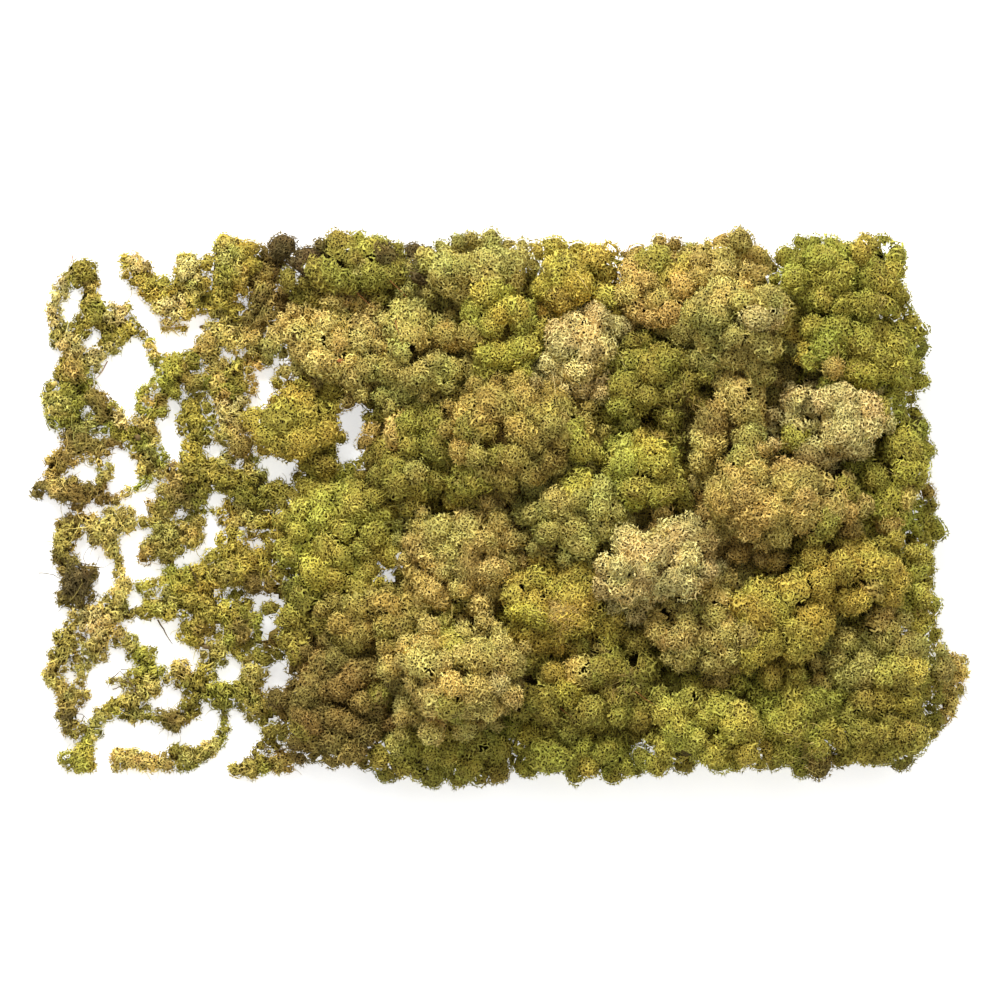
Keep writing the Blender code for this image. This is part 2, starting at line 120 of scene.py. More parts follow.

# Patches of tone on the clump: tone, x, y, radius in millimetres. The dark patches are painted shade for the
# clump's hollows.
PATCHES = [
    ("dead", -78, 104, 7), ("dead", -35, 102, 4), ("lime", -55, 105, 5), ("straw", -62, 93, 6),
    ("straw", -24, 92, 4), ("sage", -11, 107, 4), ("sage", -4, 101, 4), ("sage", -10, 93, 4),
    ("yellow", 1, 83, 6), ("straw", 20, 88, 6), ("gold", 30, 103, 4), ("olive", 42, 97, 5),
    ("khaki", -17, 68, 5), ("straw", -48, 73, 4), ("lime", -41, 66, 4), ("straw", -32, 69, 4),
    ("yellow", 1, 59, 8), ("cream", 28, 65, 7), ("cream", 18, 53, 6), ("cream", 35, 52, 6),
    ("tan", 42, 55, 4), ("sage", -46, 51, 9), ("khaki", -12, 43, 8), ("khaki", 6, 41, 8),
    ("olive", -12, 27, 6), ("olive", -2, 23, 6), ("khaki", 18, 27, 6), ("tan", 30, 34, 6),
    ("lime", 36, 21, 5), ("yellow", 34, 11, 4), ("sage", -34, 15, 5), ("lime", -16, 9, 6),
    ("tan", -52, 29, 5), ("olive", -38, 37, 5), ("lime", 60, 103, 4), ("brown", 60, 108, 3),
    ("lime", 76, 103, 4), ("gold", 73, 97, 4), ("tan", 56, 87, 8), ("straw", 94, 94, 6),
    ("straw", 102, 87, 5), ("cream", 102, 76, 6), ("cream", 106, 65, 6), ("straw", 88, 83, 6),
    ("sage", 74, 73, 6), ("olive", 62, 81, 4), ("green", 116, 91, 5), ("lime", 123, 83, 6),
    ("gold", 120, 67, 6), ("gold", 143, 105, 5), ("gold", 158, 98, 5), ("sage", 140, 87, 5),
    ("sage", 154, 83, 5), ("green", 148, 73, 6), ("lime", 162, 69, 5), ("tan", 136, 57, 5),
    ("dark", 114, 53, 4), ("dark", 125, 52, 4), ("cream", 133, 42, 5), ("cream", 142, 31, 6),
    ("green", 160, 43, 7), ("green", 161, 23, 7), ("lime", 116, 27, 5), ("dark", 108, 19, 3),
    ("brown", 122, 17, 4), ("sage", 98, 25, 6), ("straw", 92, 49, 6), ("brown", 76, 35, 7),
    ("yellow", 57, 17, 6), ("gold", 60, 29, 5), ("tan", 120, 6, 10), ("tan", 105, 4, 6),
    ("green", 145, 8, 6), ("tan", 168, 5, 4), ("lime", -76, -15, 7), ("gold", -62, -33, 6),
    ("lime", -56, -13, 6), ("sage", -40, -9, 6), ("khaki", -40, -29, 6), ("straw", -24, -9, 5),
    ("brown", -14, -23, 7), ("lime", -22, -42, 5), ("sage", 2, -25, 5), ("yellow", 7, -42, 8),
    ("tan", 24, -42, 6), ("sage", 36, -37, 5), ("straw", -18, -64, 10), ("lime", -20, -53, 5),
    ("cream", 0, -65, 5), ("brown", -8, -81, 4), ("khaki", -52, -69, 5), ("olive", -46, -77, 5),
    ("brown", -74, -59, 8), ("sage", -42, -93, 6), ("green", -20, -91, 6), ("olive", -36, -105, 4),
    ("gold", 18, -61, 5), ("dark", 12, -73, 4), ("yellow", 30, -73, 5), ("tan", 36, -57, 5),
    ("brown", 48, -69, 5), ("green", 24, -95, 6), ("gold", 36, -103, 5), ("cream", 65, -19, 7),
    ("cream", 54, -15, 6), ("tan", 60, -5, 6), ("straw", 103, -18, 6), ("brown", 88, -15, 5),
    ("green", 128, -11, 6), ("gold", 137, -22, 6), ("tan", 132, -30, 4), ("yellow", 166, -25, 5),
    ("green", 172, -13, 4), ("tan", 156, -9, 4), ("gold", 116, -46, 10), ("sage", 84, -41, 6),
    ("straw", 96, -53, 6), ("dark", 74, -53, 4), ("green", 144, -45, 6), ("tan", 156, -41, 4),
    ("tan", 130, -65, 4), ("sage", 122, -57, 4), ("lime", 116, -67, 6), ("lime", 160, -69, 10),
    ("lime", 77, -92, 7), ("lime", 96, -99, 5), ("gold", 108, -95, 4), ("brown", 128, -103, 4),
    ("straw", 54, -83, 5), ("lime", 64, -95, 4),
    ("olive", -169, 98, 5), ("khaki", -164, 88, 5), ("cream", -178, 88, 5), ("cream", -180, 78, 5),
    ("sage", -178, 70, 5), ("olive", -164, 77, 5), ("cream", -154, 78, 5), ("lime", -151, 71, 5),
    ("sage", -155, 64, 5), ("cream", -172, 65, 6), ("cream", -162, 61, 5), ("tan", -172, 56, 6),
    ("sage", -178, 41, 7), ("brown", -163, 44, 6), ("brown", -159, 37, 4), ("sage", -167, 33, 5),
    ("cream", -151, 35, 5), ("straw", -141, 32, 5), ("sage", -141, 24, 5), ("straw", -138, 64, 5),
    ("green", -133, 54, 5), ("green", -134, 50, 5), ("tan", -138, 44, 5), ("cream", -146, 98, 5),
    ("lime", -139, 91, 5), ("cream", -132, 81, 6), ("cream", -125, 97, 6), ("sage", -124, 88, 6),
    ("sage", -110, 101, 7), ("olive", -110, 91, 6), ("khaki", -98, 92, 6), ("dead", -86, 104, 6),
    ("straw", -113, 75, 6), ("tan", -120, 64, 6), ("straw", -100, 69, 6), ("sage", -94, 63, 6),
    ("lime", -106, 56, 5), ("green", -107, 49, 5), ("cream", -107, 40, 6), ("straw", -109, 32, 5),
    ("khaki", -123, 54, 5), ("olive", -121, 46, 5), ("lime", -123, 37, 6), ("tan", -169, 23, 6),
    ("khaki", -181, 18, 5), ("straw", -178, 11, 5), ("tan", -161, 20, 5), ("sage", -158, 14, 5),
    ("tan", -144, 18, 5), ("straw", -134, 11, 6), ("lime", -124, 23, 6), ("sage", -112, 23, 6),
    ("sage", -98, 17, 6), ("brown", -174, 6, 5), ("straw", -162, -7, 7), ("straw", -151, -6, 5),
    ("khaki", -175, -12, 6), ("khaki", -175, -20, 4), ("sage", -154, -20, 5), ("dead", -170, -30, 6),
    ("straw", -153, -30, 6), ("sage", -152, -40, 6), ("cream", -163, -46, 6), ("sage", -162, -57, 6),
    ("khaki", -175, -54, 5), ("straw", -177, -61, 4), ("sage", -169, -66, 5), ("straw", -180, -69, 4),
    ("sage", -170, -76, 5), ("brown", -174, -84, 5), ("sage", -150, -55, 6), ("sage", -146, -77, 6),
    ("straw", -140, -71, 5), ("sage", -162, -87, 6), ("lime", -169, -100, 7), ("sage", -148, -85, 4),
    ("brown", -132, -85, 6), ("straw", -145, -100, 7), ("sage", -125, -100, 5), ("straw", -117, -95, 5),
    ("khaki", -102, -104, 6), ("tan", -89, -102, 5), ("sage", -134, -9, 6), ("khaki", -129, -7, 4),
    ("brown", -130, 4, 6), ("sage", -102, -5, 7), ("brown", -97, -30, 5), ("gold", -129, -30, 4),
    ("sage", -137, -36, 5), ("khaki", -112, -26, 6), ("olive", -120, -39, 6), ("khaki", -120, -49, 5),
    ("olive", -104, -41, 5), ("brown", -104, -49, 5), ("straw", -130, -65, 6), ("sage", -115, -60, 6),
    ("lime", -112, -73, 5), ("sage", -99, -66, 6), ("khaki", -99, -79, 6), ("olive", -89, -89, 5),
]

# Small sprigs between the tufts: from x, y to x, y, and the radius of their lobes, all in millimetres
SPRIG_RUNS = [
    (-104, 77, -104, 74, 2.5), (-122, 48, -114, 60, 2.6), (-105, 51, -99, 50, 2.5),
    (-102, 48, -102, 36, 1.8), (-117, 30, -98, 19, 3.0), (-135, 20, -133, 12, 2.8),
    (-160, 2, -152, 6, 1.8), (-152, 5, -139, 13, 2.2), (-142, 3, -137, 0, 2.2),
    (-124, -2, -108, -1, 2.3), (-112, -12, -113, -24, 2.8), (-142, -32, -116, -22, 3.2),
    (-97, -31, -94, -28, 2.4), (-94, -50, -96, -58, 2.4), (-104, -60, -94, -57, 3.0),
    (-129, -52, -116, -58, 2.6), (-169, -64, -169, -67, 3.0), (-157, -70, -147, -69, 1.7),
    (-177, -38, -170, -41, 2.2), (-135, 73, -127, 72, 1.8), (-98, 101, -98, 99, 2.5),
    (-93, -90, -88, -92, 4.0), (-104, -80, -97, -83, 2.0), (-183, 46, -181, 36, 2.6),
    (-177, 29, -169, 27, 2.2), (-176, -100, -174, -104, 2.2), (172, 0, 172, -12, 3.2),
]


# Small helpers


def spot(x, y):
    """A listed place in millimetres, as metres on the ground in the frame."""
    return np.array((MIDDLE[0] + x * MM, MIDDLE[1] + y * MM, 0.0))


def unit(vectors):
    return vectors / np.maximum(np.linalg.norm(vectors, axis=-1, keepdims=True), 1e-12)


def ripple(points, length, seed, waves=9):
    """Smooth noise, about -1 to 1, from crossed waves of about the given length."""
    draw = np.random.default_rng(seed)
    ways = unit(draw.normal(size=(waves, 3))) * draw.uniform(0.6, 1.5, (waves, 1))
    phases = draw.uniform(0, 2 * math.pi, waves)
    return np.sin(points @ ways.T * (2 * math.pi / length) + phases).sum(1) / math.sqrt(waves) * 0.9


def even_ways(count, draw, jitter):
    """Unit directions spread evenly over a ball, each nudged by a share of their spacing."""
    steps = np.arange(count)
    height = 1 - (2 * steps + 1) / count
    around = steps * math.pi * (3 - math.sqrt(5))
    level = np.sqrt(1 - height * height)
    ways = np.stack([level * np.cos(around), level * np.sin(around), height], 1)
    return unit(ways + draw.normal(size=ways.shape) * jitter * math.sqrt(4 * math.pi / count))


def any_turn(draw):
    """A random rotation matrix."""
    turn, _ = np.linalg.qr(draw.normal(size=(3, 3)))
    return turn * np.sign(np.linalg.det(turn))


def sideways(normals):
    """Two unit vectors across each normal."""
    helper = np.where(np.abs(normals[..., 2:]) < 0.9, (0.0, 0.0, 1.0), (1.0, 0.0, 0.0))
    first = unit(np.cross(helper, normals))
    return first, np.cross(normals, first)


# The lace net


class Net:
    """A net over a ball: cells (holes), knots (forks) round them, and threads from knot to knot.

    The cells are spread points, the middles of the triangles between them are the knots, and each side of a
    triangle is crossed by one thread.
    """

    def __init__(self, cells, seed):
        draw = np.random.default_rng(seed)
        bm = bmesh.new()
        for way in even_ways(cells, draw, 0.30):
            bm.verts.new(way)
        bmesh.ops.convex_hull(bm, input=bm.verts[:])
        bm.verts.index_update()
        self.cells = np.array([vert.co[:] for vert in bm.verts])
        triangles = np.array([[vert.index for vert in face.verts] for face in bm.faces])
        bm.free()
        a, b, c = (self.cells[triangles[:, k]] for k in range(3))
        inward = np.einsum("ij,ij->i", np.cross(b - a, c - a), a + b + c) < 0
        triangles[inward] = triangles[inward][:, ::-1]
        self.triangles = triangles
        self.knots = unit(self.cells[triangles].mean(1))

        count = len(self.cells)
        starts = triangles.reshape(-1)
        ends = np.roll(triangles, -1, axis=1).reshape(-1)
        order = np.argsort(starts * count + ends)
        twin = order[np.searchsorted((starts * count + ends)[order], ends * count + starts)]
        here = np.arange(len(starts))
        self.corner_cell = starts
        self.corner_knot = here // 3
        once = here < twin
        here, twin = here[once], twin[once]
        self.thread_cells = np.stack([starts[here], starts[twin]], 1)
        self.thread_knots = np.stack([here // 3, twin // 3], 1)
        self.thread_corners = np.stack([after(twin), twin, after(here), here], 1)


def after(corner):
    """The next corner of the same triangle."""
    return 3 * (corner // 3) + (corner % 3 + 1) % 3


NET_SIZES = (26, 36, 50, 70, 95, 130, 175, 235, 310)
NETS = {size: [Net(size, seed=size * 10 + kind) for kind in range(3)] for size in NET_SIZES}


def net_for(area, pitch, draw):
    """The net whose cells come closest to the wanted pitch on a ball of that area."""
    wanted = area / (0.866 * pitch * pitch)
    size = min(NET_SIZES, key=lambda cells: abs(math.log(cells / wanted)))
    return NETS[size][draw.integers(3)]


class Lobe:
    """A knobbly ball of branchlets, flattened where it meets the ground."""

    def __init__(self, middle, normal, radius, tone, draw):
        self.middle = middle
        self.normal = normal
        self.radii = radius * np.array([draw.uniform(*share) for share in STRETCH])
        self.radius = radius
        self.turn = any_turn(draw)
        self.knob_ways = even_ways(KNOBS, draw, KNOB_JITTER) @ any_turn(draw)
        self.knob_size = draw.uniform(*KNOB_SIZE, KNOBS)
        self.knob_centre = 1 - self.knob_size + draw.uniform(*KNOB_DEPTH, KNOBS)
        self.knob_light = draw.normal(1.0, KNOB_LIGHT, KNOBS)
        self.tone = tone
        self.seed = int(draw.integers(1 << 30))

    def reach(self, ways):
        """How far the surface lies along each way, as a share of the radii, and which knob is there."""
        along = ways @ self.knob_ways.T * self.knob_centre
        inside = self.knob_size**2 - (self.knob_centre**2 - along**2)
        hit = np.where(inside > 0, along + np.sqrt(np.maximum(inside, 0)), 0)
        knob = hit.argmax(1)
        return np.maximum(hit.max(1), VALLEY), knob

    def place(self, ways, reach):
        return self.middle + (ways * reach[:, None] * self.radii) @ self.turn.T

    def covers(self, points, slack):
        """Which points lie inside this lobe by more than the slack."""
        local = (points - self.middle) @ self.turn / self.radii
        far = np.linalg.norm(local, axis=1)
        near = far < 1
        covered = np.zeros(len(points), bool)
        if near.any():
            reach, _ = self.reach(local[near] / np.maximum(far[near], 1e-9)[:, None])
            covered[near] = far[near] < reach - slack / self.radius
        return covered


def tone_at(point, own_tone, draw):
    """A lobe's tone: its patch's, mixed towards its tuft's own at the edge, else its tuft's."""
    best, best_share = own_tone, 1.0
    for name, x, y, radius in PATCHES:
        share = math.hypot(point[0] - MIDDLE[0] - x * MM, point[1] - MIDDLE[1] - y * MM) / (radius * MM)
        if share < best_share:
            best, best_share = name, share
    tone = np.array(TONES[best])
    if best_share < 1.0:
        tone = tone * (1 - OWN_TONE * best_share) + np.array(TONES[own_tone]) * OWN_TONE * best_share
    tone = tone * draw.normal(1.0, TONE_DRIFT, 3) * draw.normal(1.0, LIGHT_DRIFT)
    return np.clip(tone, 0.02, 0.9)


# Collecting faces for one piece


def half_square(numbers, count, flat):
    """Places in numbered small squares that fill the lower half of the unit square."""
    across = max(2, math.ceil(math.sqrt(2 * max(count, 1))))
    across += across * across // 2 < count
    corner = np.stack([numbers % across, numbers // across], 1)
    return (corner + 0.5 + 0.46 * flat) / across


RING = np.array([(math.cos(2 * math.pi * k / 3), math.sin(2 * math.pi * k / 3)) for k in range(3)])


class Growth:
    """Gathers one piece's vertices and faces, with a tone and a lift on each vertex and a UV patch per part.

    Lift is 0 deep inside the moss and 1 at the tips; the finish paints by it, as painted shade where it is
    low and painted light where it is high.
    """

    def __init__(self):
        self.points, self.tones, self.lifts = [], [], []
        self.corners, self.sizes, self.flats, self.patches = [], [], [], []
        self.count = 0
        self.patch_count = 0
        self.wide_count = 0

    def add(self, points, tones, lifts, faces, flat, patches, wide=False):
        """Faces are corner indices (n, k), flat is places in a patch (n, k, 2), and patches are numbers (n,).

        A wide patch is one larger square for all these faces, for a skin that needs its own pattern.
        """
        self.points.append(points)
        self.tones.append(np.broadcast_to(tones, (len(points), 3)))
        self.lifts.append(np.broadcast_to(lifts, (len(points),)))
        self.corners.append((faces + self.count).reshape(-1))
        self.sizes.append(np.full(len(faces), faces.shape[1]))
        self.flats.append(flat.reshape(-1, 2))
        if wide:
            self.wide_count += 1
            self.patches.append(np.full(faces.size, -self.wide_count))
        else:
            self.patches.append(np.repeat(patches, faces.shape[1]) + self.patch_count)
            self.patch_count += int(patches.max()) + 1 if len(patches) else 0
        self.count += len(points)

    def extend(self, faces, flat, patches):
        """More faces on the points added last."""
        start = self.count - len(self.points[-1])
        self.corners.append((faces + start).reshape(-1))
        self.sizes.append(np.full(len(faces), faces.shape[1]))
        self.flats.append(np.broadcast_to(flat, (len(faces), *flat.shape)).reshape(-1, 2))
        self.patches.append(np.repeat(patches, faces.shape[1]) + self.patch_count)
        self.patch_count += len(faces)

    def add_tips(self, corners, tips, tones, lifts):
        """A pointed tip over each of the triangles of points added last that start at the given corners."""
        start = self.count - len(self.points[-1])
        ring = corners[:, None] + start
        apexes = (np.arange(len(tips)) + self.count)[:, None]
        faces = np.stack([np.hstack([ring + k, ring + (k + 1) % 3, apexes]) for k in range(3)], 1)
        flat = np.stack([np.stack([RING[k], RING[(k + 1) % 3], (0.0, 0.0)]) for k in range(3)])
        self.points.append(tips)
        self.tones.append(tones)
        self.lifts.append(lifts)
        self.corners.append(faces.reshape(-1))
        self.sizes.append(np.full(3 * len(tips), 3))
        self.flats.append(np.broadcast_to(flat, (len(tips), 3, 3, 2)).reshape(-1, 2))
        self.patches.append(np.repeat(np.arange(len(tips)), 9) + self.patch_count)
        self.count += len(tips)
        self.patch_count += len(tips)

    def mesh(self, name):
        points, tones, lifts = (np.concatenate(part) for part in (self.points, self.tones, self.lifts))
        corners, sizes = np.concatenate(self.corners), np.concatenate(self.sizes)
        flat, patches = np.concatenate(self.flats), np.concatenate(self.patches)
        used, corners = np.unique(corners, return_inverse=True)
        points, tones, lifts = points[used], tones[used], lifts[used]
        points[:, 2] = np.maximum(points[:, 2], GROUND)
        made = bpy.data.meshes.new(name)
        made.vertices.add(len(points))
        made.vertices.foreach_set("co", points.astype(np.float32).ravel())
        made.loops.add(len(corners))
        made.loops.foreach_set("vertex_index", corners.astype(np.int32))
        made.polygons.add(len(sizes))
        made.polygons.foreach_set("loop_start", (np.cumsum(sizes) - sizes).astype(np.int32))
        made.update(calc_edges=True)
        made.polygons.foreach_set("use_smooth", np.ones(len(sizes), bool))
        unwrapped = made.uv_layers.new(name="OFBake")
        wide = patches < 0
        places = np.where(
            wide[:, None],
            half_square(-1 - patches, self.wide_count, flat) + (0.0, 0.5),
            half_square(patches, self.patch_count, flat),
        )
        unwrapped.uv.foreach_set("vector", places.astype(np.float32).ravel())
        tone = made.attributes.new("tone", "FLOAT_COLOR", "POINT")
        colours = np.column_stack([tones, np.ones(len(tones))]).astype(np.float32)
        tone.data.foreach_set("color", colours.ravel())
        lift = made.attributes.new("lift", "FLOAT", "POINT")
        lift.data.foreach_set("value", lifts.astype(np.float32))
        made.validate()
        return made


def add_lace(growth, lobe, others, pitch):
    """The lace of branchlets over one lobe, left out where it can't be seen."""
    draw = np.random.default_rng(lobe.seed)
    net = net_for(4 * math.pi * lobe.radius**2, pitch, draw)
    reach, knob = lobe.reach(net.cells)
    centres = lobe.place(net.cells, reach)
    kept = (centres - lobe.middle) @ lobe.normal > KEPT_CAP * lobe.radius
    kept &= centres[:, 2] > -0.5 * MM
    for other in others:
        kept[kept] = ~other.covers(centres[kept], 0.5 * MM)
    seen = np.flatnonzero(kept)
    normals = unit((net.cells / lobe.radii) @ lobe.turn.T)
    kept[seen] = [in_the_open(centres[cell], normals[cell]) for cell in seen]
    if not kept.any():
        return
    shade = lobe.knob_light[knob]

    knot_reach, _ = lobe.reach(net.knots)
    knots = lobe.place(net.knots, knot_reach)
    knot_normals = unit((net.knots / lobe.radii) @ lobe.turn.T)
    knot_height = (knot_reach - VALLEY) / (1 - VALLEY)
    knot_shade = shade[net.triangles].mean(1)

    hole = draw.uniform(*HOLE_SHARE, len(net.cells))[net.corner_cell, None]
    rims = centres[net.corner_cell] * (1 - hole) + knots[net.corner_knot] * hole
    rims = rims + knot_normals[net.corner_knot] * draw.normal(0, THREAD_SCATTER, (len(rims), 1))

    threads = kept[net.thread_cells].any(1) & (draw.random(len(net.thread_cells)) > MISSING_THREADS)
    joined = np.bincount(net.thread_knots[threads].ravel(), minlength=len(knots)) > 0
    tipped = joined & (draw.random(len(knots)) < TIP_SHARE)
    # painted light: higher knobs get more lift, which the finish paints brighter
    lifts = (0.50 + 0.28 * knot_height)[net.corner_knot] + draw.normal(0, 0.10, len(rims))
    tones = lobe.tone * knot_shade[net.corner_knot, None] * draw.normal(1.0, TIP_LIGHT, (len(rims), 1))
    square = np.array([(-1.0, -1.0), (1.0, -1.0), (1.0, 1.0), (-1.0, 1.0)])
    count = int(threads.sum())
    flat = np.broadcast_to(square, (count, 4, 2))
    growth.add(rims, tones, lifts, net.thread_corners[threads], flat, np.arange(count))
    plain = np.flatnonzero(joined & ~tipped)
    growth.extend(3 * plain[:, None] + np.arange(3), RING, np.arange(len(plain)))

    bearers = np.flatnonzero(tipped)
    count = len(bearers)
    lean = knot_normals[bearers] + draw.normal(0, TIP_LEAN, (count, 3))
    tips = knots[bearers] + unit(lean) * draw.uniform(*TIP_LENGTH, (count, 1))
    shine = knot_shade[bearers, None] * draw.normal(1.0, TIP_LIGHT, (count, 1))
    # tips get the most lift, which the finish paints as highlights
    growth.add_tips(3 * bearers, tips, lobe.tone * shine, 0.80 + 0.2 * knot_height[bearers])
    add_lining(growth, lobe, others, draw)


def add_lining(growth, lobe, others, draw):
    """The second layer of branchlets, seen through the holes of the lace as a closed knobbly skin; its low
    lift paints it darker, as painted shade under the lace.
    """
    net = NETS[50 if lobe.radius > 5 * MM else 26][draw.integers(3)]
    reach, _ = lobe.reach(net.cells)
    sunk = reach * (1 - LINING_DEPTH / lobe.radius)
    points = lobe.place(net.cells, sunk)
    middles = points[net.triangles].mean(1)
    kept = (middles - lobe.middle) @ lobe.normal > (KEPT_CAP - 0.1) * lobe.radius
    for other in others:
        kept[kept] = ~other.covers(middles[kept], 2.0 * MM)
    seen = np.flatnonzero(kept)
    ways = unit(middles - lobe.middle)
    kept[seen] = [in_the_open(middles[face] + ways[face] * LINING_DEPTH * 1.5, ways[face]) for face in seen]
    if not kept.any():
        return
    height = (reach - VALLEY) / (1 - VALLEY)
    away = np.arccos(np.clip(unit(points - lobe.middle) @ lobe.normal, -1, 1)) / math.pi
    first, second = sideways(lobe.normal[None])
    across = np.arctan2((points - lobe.middle) @ second[0], (points - lobe.middle) @ first[0])
    flat = np.stack([away * np.cos(across), away * np.sin(across)], 1)
    faces = net.triangles[kept]
    # low lift: the finish paints the lining darker, as shade
    growth.add(points, lobe.tone, 0.10 + 0.12 * height, faces, flat[faces], None, wide=True)


# Growing lobes on the frame's tufts

TUFT_TONES = {
    "cream_moss": "cream", "straw_moss": "straw", "tan_moss": "tan", "gold_moss": "gold",
    "lime_moss": "lime", "green_moss": "green", "sage_moss": "sage", "khaki_moss": "khaki",
    "olive_moss": "olive", "brown_moss": "brown",
}
SLOTS = {part["node"]: part["material_slot"] for part in frame["record"]["subparts"]}


def triangles_of(node):
    """Corner places (n, 3, 3) of a frame node's triangles."""
    mesh = frame["nodes"][node].data
    mesh.calc_loop_triangles()
    points = np.empty(len(mesh.vertices) * 3)
    mesh.vertices.foreach_get("co", points)
    corners = np.empty(len(mesh.loop_triangles) * 3, int)
    mesh.loop_triangles.foreach_get("vertices", corners)
    return points.reshape(-1, 3)[corners].reshape(-1, 3, 3)


SHAPES = {node: triangles_of(node) for node in sorted(frame["nodes"])}
TREES = {
    node: BVHTree.FromPolygons(
        [Vector(p) for p in shape.reshape(-1, 3)],
        [(3 * i, 3 * i + 1, 3 * i + 2) for i in range(len(shape))],
    )
    for node, shape in SHAPES.items()
}


def scattered_on(shape, draws, draw):
    """Random places and normals on a node's surface, by area."""
    a, b, c = shape[:, 0], shape[:, 1], shape[:, 2]
    cross = np.cross(b - a, c - a)
    area = np.linalg.norm(cross, axis=1)
    picked = draw.choice(len(shape), draws, p=area / area.sum())
    u, v = draw.random(draws), draw.random(draws)
    over = u + v > 1
    u[over], v[over] = 1 - u[over], 1 - v[over]
    places = a[picked] + (b - a)[picked] * u[:, None] + (c - a)[picked] * v[:, None]
    return places, unit(cross[picked])


PRESSED_WITHIN = 7 * MM  # a tuft this close in front of the surface hides it
BOX_MARGIN = 9 * MM


def pressed(node, place, normal):
    """Whether another tuft lies against the surface here."""
    start = Vector(place + normal * 0.1 * MM)
    low, high = place - BOX_MARGIN, place + BOX_MARGIN
    for other, tree in TREES.items():
        box_low, box_high = BOXES[other]
        if other == node or (box_low > high).any() or (box_high < low).any():
            continue
        if tree.ray_cast(start, Vector(normal), PRESSED_WITHIN)[0] is not None:
            return True
    return False


BOXES = {node: (shape.reshape(-1, 3).min(0), shape.reshape(-1, 3).max(0)) for node, shape in SHAPES.items()}


TRIES = 40  # places tried for each lobe that would fit
LOWEST_FACING = -0.35  # surfaces that look further down than this grow no lobes
SPRIG_SINK = (0.35, 0.95)  # how deep lobes sit in thin sprigs, as shares of their radius
CROWN_RISE = (-2.4, 2.6)  # millimetres that lobes stand in or out of a crown's surface


def lobes_on(node, seed):
    """Lobes over one node's showing surface, spaced so that they crowd each other."""
    draw = np.random.default_rng(seed)
    shape = SHAPES[node]
    small = not node.startswith(("crown", "head"))
    sizes = SPRIG_LOBES if small else CROWN_LOBES
    area = np.linalg.norm(np.cross(shape[:, 1] - shape[:, 0], shape[:, 2] - shape[:, 0]), axis=1).sum() / 2
    mean = sum(sizes) / 2
    places, normals = scattered_on(shape, int(area / mean**2 * TRIES), draw)
    lobes = []
    taken = np.empty((0, 4))
    for place, normal in zip(places, normals):
        if normal[2] < LOWEST_FACING or (place[2] < 1 * MM and not small):
            continue
        radius = draw.uniform(*sizes)
        if len(taken):
            apart = np.linalg.norm(taken[:, :3] - place, axis=1)
            if (apart < CROWDING * (taken[:, 3] + radius)).any():
                continue
        if (not small and in_clearing(place, 3 * MM)) or pressed(node, place, normal):
            continue
        taken = np.vstack([taken, [*place, radius]])
        sink = radius * draw.uniform(*SPRIG_SINK) if small else radius - draw.uniform(*CROWN_RISE) * MM
        sink += (1 - abs(normal[2])) * SIDE_SINK * (not small)
        middle = place - normal * sink
        tone = tone_at(place, TUFT_TONES[SLOTS[node]], draw) * (SPRIG_PAINTED_LIGHT if small else 1.0)
        lobes.append(Lobe(middle, normal, radius, tone, draw))
    return lobes


def blockers(lobes):
    """A tree of rough balls for the lobes, to test what can be seen past them."""
    net = NETS[36][0]
    points, faces = [], []
    for lobe in lobes:
        reach, _ = lobe.reach(net.cells)
        start = len(points)
        points.extend(Vector(p) for p in lobe.place(net.cells, reach * 0.93))
        faces.extend((net.triangles + start).tolist())
    return BVHTree.FromPolygons(points, faces)


def look_ways():
    """Ways to look out along: straight up counts most, then slanting, then nearly level."""
    ways = [(Vector((0, 0, 1)), 3)]
    for elevation, count, weight in ((50, 6, 1), (12, 8, 1)):
        for step in range(count):
            around = 2 * math.pi * step / count
            level = math.cos(math.radians(elevation))
            rise = math.sin(math.radians(elevation))
            ways.append((Vector((level * math.cos(around), level * math.sin(around), rise)), weight))
    return ways


LOOK_WAYS = look_ways()
ENOUGH_SIGHT = 3


def in_the_open(place, normal):
    """Whether a place on a lobe can be seen from enough ways."""
    start = Vector(place + normal * 0.5 * MM)
    sight = 0
    for way, weight in LOOK_WAYS:
        if BLOCKERS.ray_cast(start, way)[0] is None:
            sight += weight
            if sight >= ENOUGH_SIGHT:
                return True
    return False


# Filling the crevices

GRID = 1.0 * MM
ROOF_SHARE = 0.82  # how much of a lobe's width is closed enough to hide the ground
SEAM_DEPTH = 0.70  # seams lower than this share of the tufts round them are filled up
SEAM_REACH = 11  # crevices up to twice this wide, in grid steps, are filled among the crowns
FRINGE_REACH = 2  # the same among the loose sprigs
FRINGE_END = -92  # millimetres; the loose sprigs lie on this side
FILL_SIZE = (3.4, 7.0)  # radius of the lobes that fill crevices, in millimetres
FILL_LEAST = 2.2 * MM
FILL_CROWDING = 0.55
FILL_HEIGHT = (0.55, 0.92)  # how high they stand, as a share of the tufts round them
# Lobes that fill the crevices are painted darker by this share: painted shade low in the crevices
FILL_PAINTED_SHADE = 0.85
HIGH_TUFTS = 22 * MM  # seams between lower tufts than these are left alone
CROWN_STEPS = 6  # the mat keeps this many grid steps in from the crowns' edge
RUN_SPACING = 1.1  # between lobes along a sprig, as a share of their radius
RUN_WANDER = 0.4 * MM

